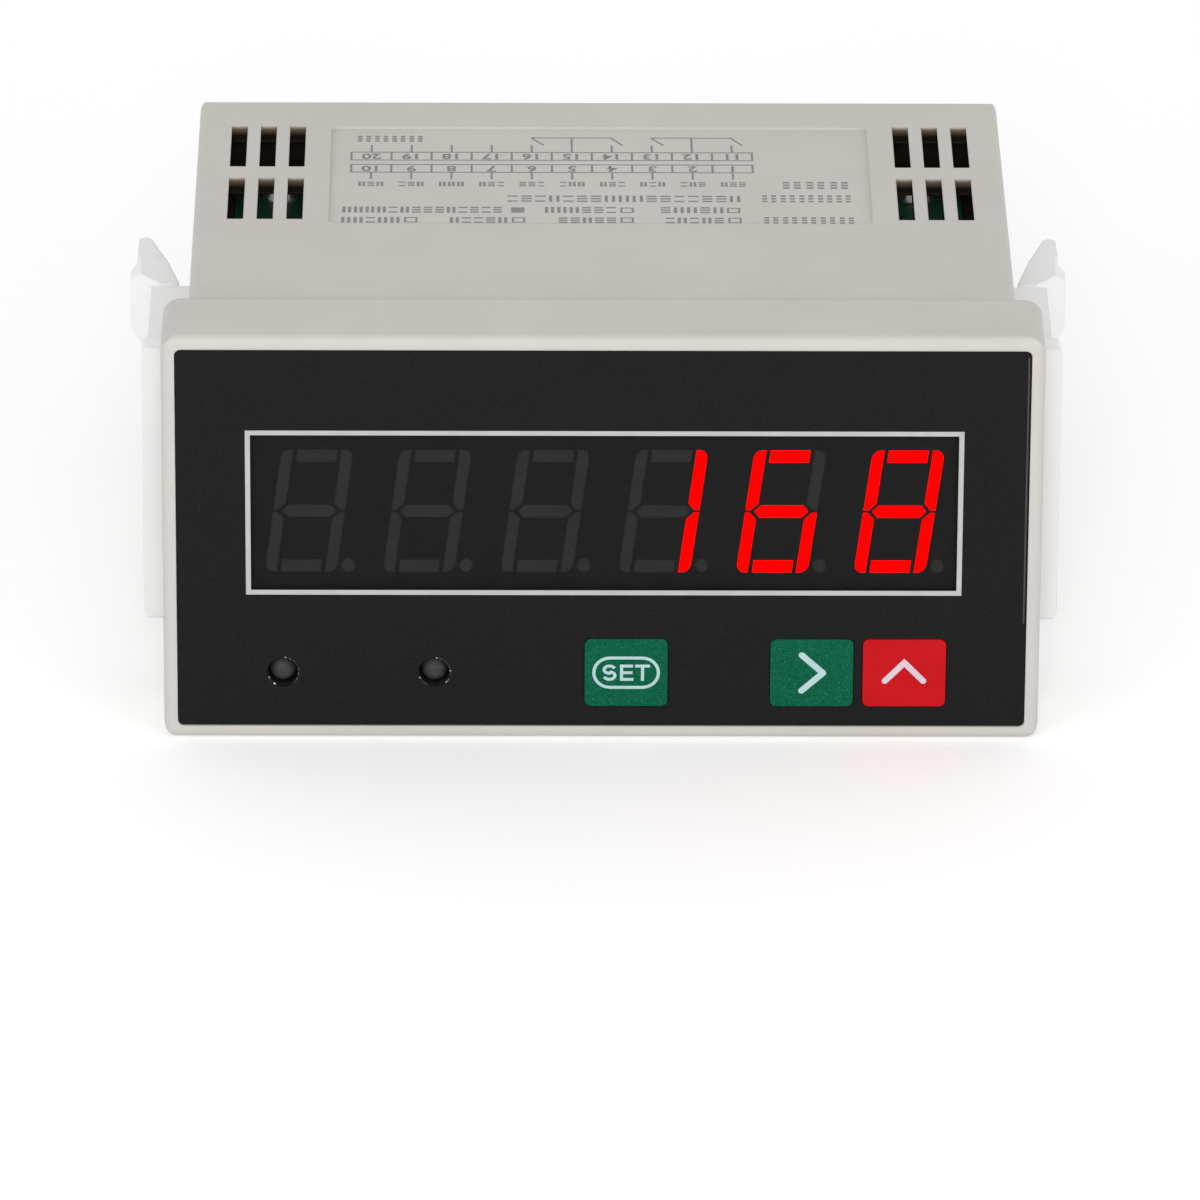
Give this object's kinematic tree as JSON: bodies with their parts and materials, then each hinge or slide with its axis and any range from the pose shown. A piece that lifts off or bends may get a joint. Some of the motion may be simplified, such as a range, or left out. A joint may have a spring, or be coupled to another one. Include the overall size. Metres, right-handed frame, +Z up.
{
  "type": "panel counter",
  "caption": "Panel-mount digital counter: pale plastic case, black face with slanted red LED digits and film keys, screw terminals at the back, nylon clips that slide on side rails.",
  "frame": {"origin": "centre of the bezel's back face, which seats on the front of the panel", "axes": "+X to the right seen from the front, +Y through the panel towards the back of the case, +Z up"},
  "size_m": [0.1068, 0.0813, 0.048],
  "materials": {
    "case_plastic": "fine matt moulded",
    "black_plastic": "moulded",
    "overlay_film": "satin film",
    "border_print": "silver print",
    "window_film": "smoked clear film",
    "key_green": "satin film",
    "key_red": "satin film",
    "plunger_plastic": "moulded",
    "switch_steel": "stamped",
    "indicator_lens": "smoked epoxy",
    "segment_lit": "glowing epoxy",
    "segment_dark": "dark epoxy",
    "board_green": "solder mask",
    "screw_steel": "plated",
    "chip_plastic": "moulded",
    "terminal_brass": "plated",
    "relay_plastic": "moulded",
    "core_ferrite": "sintered",
    "coil_tape": "wrapped tape",
    "capacitor_sleeve": "shrink sleeve",
    "fuse_plastic": "moulded",
    "opto_plastic": "moulded",
    "clip_nylon": "natural nylon"
  },
  "bodies": {
    "housing": {"bezel": "case_plastic", "face_plate": "black_plastic", "face_overlay": "overlay_film", "window_border": "border_print", "display_window": "window_film", "tact_switches": "switch_steel", "indicator_left": "indicator_lens", "indicator_right": "indicator_lens", "display_module_left": "black_plastic", "display_module_right": "black_plastic", "lit_segments": "segment_lit", "dark_segments": "segment_dark", "display_board": "board_green", "board_screws": "screw_steel", "microcontroller": "chip_plastic", "case": "case_plastic", "upper_board": "board_green", "lower_board": "board_green", "upper_header": "black_plastic", "lower_header": "black_plastic", "terminal_strip_upper": "black_plastic", "terminal_strip_lower": "black_plastic", "terminal_plates_upper": "terminal_brass", "terminal_plates_lower": "terminal_brass", "clamp_washers": "screw_steel", "terminal_screws": "screw_steel", "relay_left": "relay_plastic", "relay_right": "relay_plastic", "transformer_core": "core_ferrite", "transformer_coil": "coil_tape", "bulk_capacitor": "capacitor_sleeve", "output_capacitors": "capacitor_sleeve", "bridge_rectifier": "chip_plastic", "fuse": "fuse_plastic", "optocouplers": "opto_plastic"},
    "key_set": {"key_set": "key_green", "plunger_set": "plunger_plastic"},
    "key_shift": {"key_shift": "key_green", "plunger_shift": "plunger_plastic"},
    "key_up": {"key_up": "key_red", "plunger_up": "plunger_plastic"},
    "clip_left": {"clip_left": "clip_nylon"},
    "clip_right": {"clip_right": "clip_nylon"}
  },
  "joints": [
    {"name": "key_set_press", "type": "slide", "parent": "housing", "child": "key_set", "axis": [0, 1, 0], "range_m": [0, 0.0004], "stiffness_N_per_m": 2000},
    {"name": "key_shift_press", "type": "slide", "parent": "housing", "child": "key_shift", "axis": [0, 1, 0], "range_m": [0, 0.0004], "stiffness_N_per_m": 2000},
    {"name": "key_up_press", "type": "slide", "parent": "housing", "child": "key_up", "axis": [0, 1, 0], "range_m": [0, 0.0004], "stiffness_N_per_m": 2000},
    {"name": "clip_left_slide", "type": "slide", "parent": "housing", "child": "clip_left", "axis": [0, 1, 0], "range_m": [-0.0033, 0.04]},
    {"name": "clip_right_slide", "type": "slide", "parent": "housing", "child": "clip_right", "axis": [0, 1, 0], "range_m": [-0.0033, 0.04]}
  ]
}
